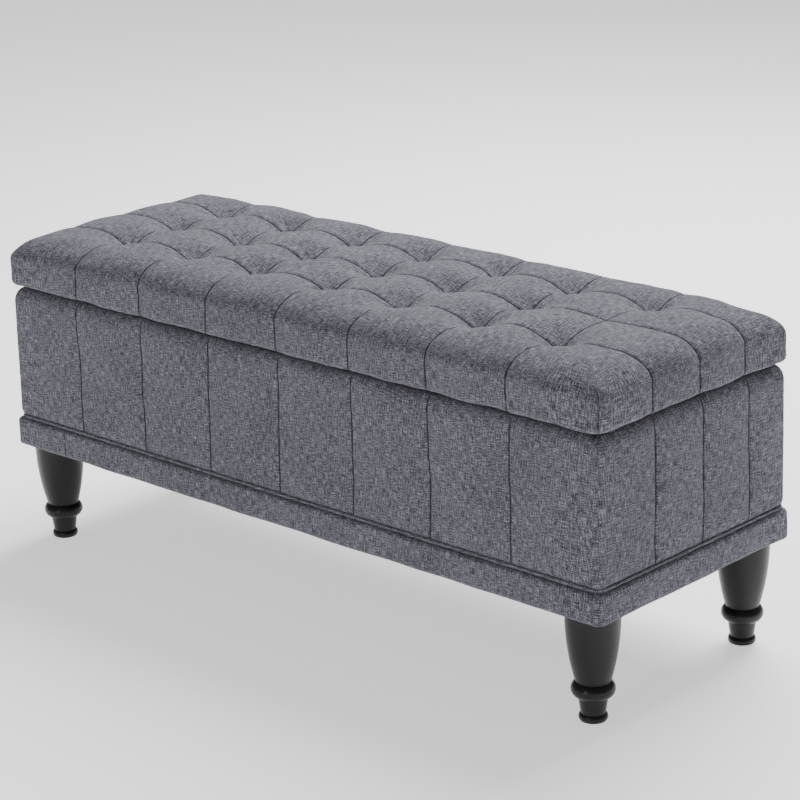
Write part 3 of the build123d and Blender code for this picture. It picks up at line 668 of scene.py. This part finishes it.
def plainMaterial(name, dark, light, rough, grainScale, bumpStrength):
    # a mottled matt finish whose grain is stretched by grainScale along each axis
    material, t = startMaterial(name)
    place = t.add("TexCoord", None, None, 3)
    grain = noise(t, stretched(t, place, *grainScale), 4.0, 0.6)
    tint = t.add("ValToRGB", {"stops": [(0.3, list(dark) + [1]), (0.7, list(light) + [1])]}, {"Fac": grain})
    bump = t.add("Bump", None, {"Strength": bumpStrength, "Distance": 0.0004, "Height": grain})
    finishMaterial(t, {"Base Color": tint, "Roughness": grain * 0.1 + rough, "Normal": bump})
    return material


finishes = {
    "black_lacquer": lacquerMaterial(),
    "steel": metalMaterial("brightZinc", (0.70, 0.71, 0.73), 0.22, 0.15),
    "plated_steel": metalMaterial("zincPlatedSteel", (0.56, 0.57, 0.59), 0.30, 0.3),
    "board": plainMaterial("rawBoard", (0.42, 0.30, 0.18), (0.60, 0.46, 0.30), 0.75, (300, 300, 300), 0.3),
    "timber": plainMaterial("planedPine", (0.50, 0.33, 0.17), (0.72, 0.54, 0.33), 0.6, (12, 160, 160), 0.3),
    "foam": plainMaterial("foam", (0.70, 0.66, 0.50), (0.84, 0.80, 0.64), 0.9, (900, 900, 900), 0.6),
    "lining_cloth": plainMaterial("blackNonWoven", (0.022, 0.022, 0.024), (0.055, 0.055, 0.060), 0.85,
                                  (700, 700, 700), 0.6),
    "black_rubber": plainMaterial("blackRubber", (0.012, 0.012, 0.012), (0.022, 0.022, 0.022), 0.6,
                                  (400, 400, 400), 0.2),
    "black_plastic": plainMaterial("mouldedNylon", (0.02, 0.02, 0.021), (0.035, 0.035, 0.036), 0.45,
                                   (500, 500, 500), 0.15),
    "tie_cord": plainMaterial("waxedTwine", (0.42, 0.40, 0.34), (0.60, 0.58, 0.50), 0.7,
                              (900, 900, 900), 0.5),
}
for entry in frame["record"]["subparts"]:
    node, slotName = frame["nodes"][entry["node"]], entry["material_slot"]
    if slotName in finishes:
        node.data.materials.clear()
        node.data.materials.append(finishes[slotName])
print("finishes set")

# ---------- camera, light and floor ----------
view = dict(place=(2.311, -2.399, 1.361), yaw=43.42, pitch=18.23, roll=-1.65, lens=118.7)


def makeCamera():
    yaw, pitch, roll = (math.radians(view[k]) for k in ("yaw", "pitch", "roll"))
    ahead = Vector((-math.sin(yaw) * math.cos(pitch), math.cos(yaw) * math.cos(pitch), -math.sin(pitch)))
    right = Vector((math.cos(yaw), math.sin(yaw), 0))
    up = right.cross(ahead)
    tiltedRight = right * math.cos(roll) + up * math.sin(roll)
    tiltedUp = up * math.cos(roll) - right * math.sin(roll)
    data = bpy.data.cameras.new("camera")
    data.lens, data.sensor_width = view["lens"], 36
    camera = bpy.data.objects.new("camera", data)
    bpy.context.scene.collection.objects.link(camera)
    turn = Matrix((tiltedRight, tiltedUp, -ahead)).transposed().to_4x4()
    camera.matrix_world = Matrix.Translation(view["place"]) @ turn
    bpy.context.scene.camera = camera


makeCamera()


def areaLight(name, place, target, size, power):  # size is width and height
    data = bpy.data.lights.new(name, "AREA")
    data.shape, data.size, data.size_y, data.energy = "RECTANGLE", size[0], size[1], power
    light = bpy.data.objects.new(name, data)
    bpy.context.scene.collection.objects.link(light)
    light.location, light.visible_camera = place, False
    light.rotation_euler = (Vector(target) - Vector(place)).to_track_quat("-Z", "Y").to_euler()


areaLight("topLight", (-0.4, 1.8, 2.8), (0, 0, 0.35), (2.2, 2.2), 200)
areaLight("stripLight", (0.5, -3.2, 0.85), (0, 0, 0.3), (0.12, 1.7), 14)
areaLight("sideLight", (3.0, 2.4, 1.0), (0, 0, 0.3), (0.3, 1.6), 1.5)

world = bpy.data.worlds.new("studio")
bpy.context.scene.world = world
world.use_nodes = True
world.node_tree.nodes["Background"].inputs[0].default_value = (1, 1, 1, 1)
world.node_tree.nodes["Background"].inputs[1].default_value = 0.24

floorMesh = bpy.data.meshes.new("floor")
floorMesh.from_pydata([(-20, -20, 0), (20, -20, 0), (20, 20, 0), (-20, 20, 0)], [], [(0, 1, 2, 3)])
floor = bpy.data.objects.new("floor", floorMesh)
bpy.context.scene.collection.objects.link(floor)
floorMaterial, t = startMaterial("paleFloor")
finishMaterial(t, {"Base Color": (0.95, 0.95, 0.95, 1), "Roughness": 0.9,
                  "Emission Color": (1, 1, 1, 1), "Emission Strength": 0.8})
floorMesh.materials.append(floorMaterial)
print("camera, light and floor set")
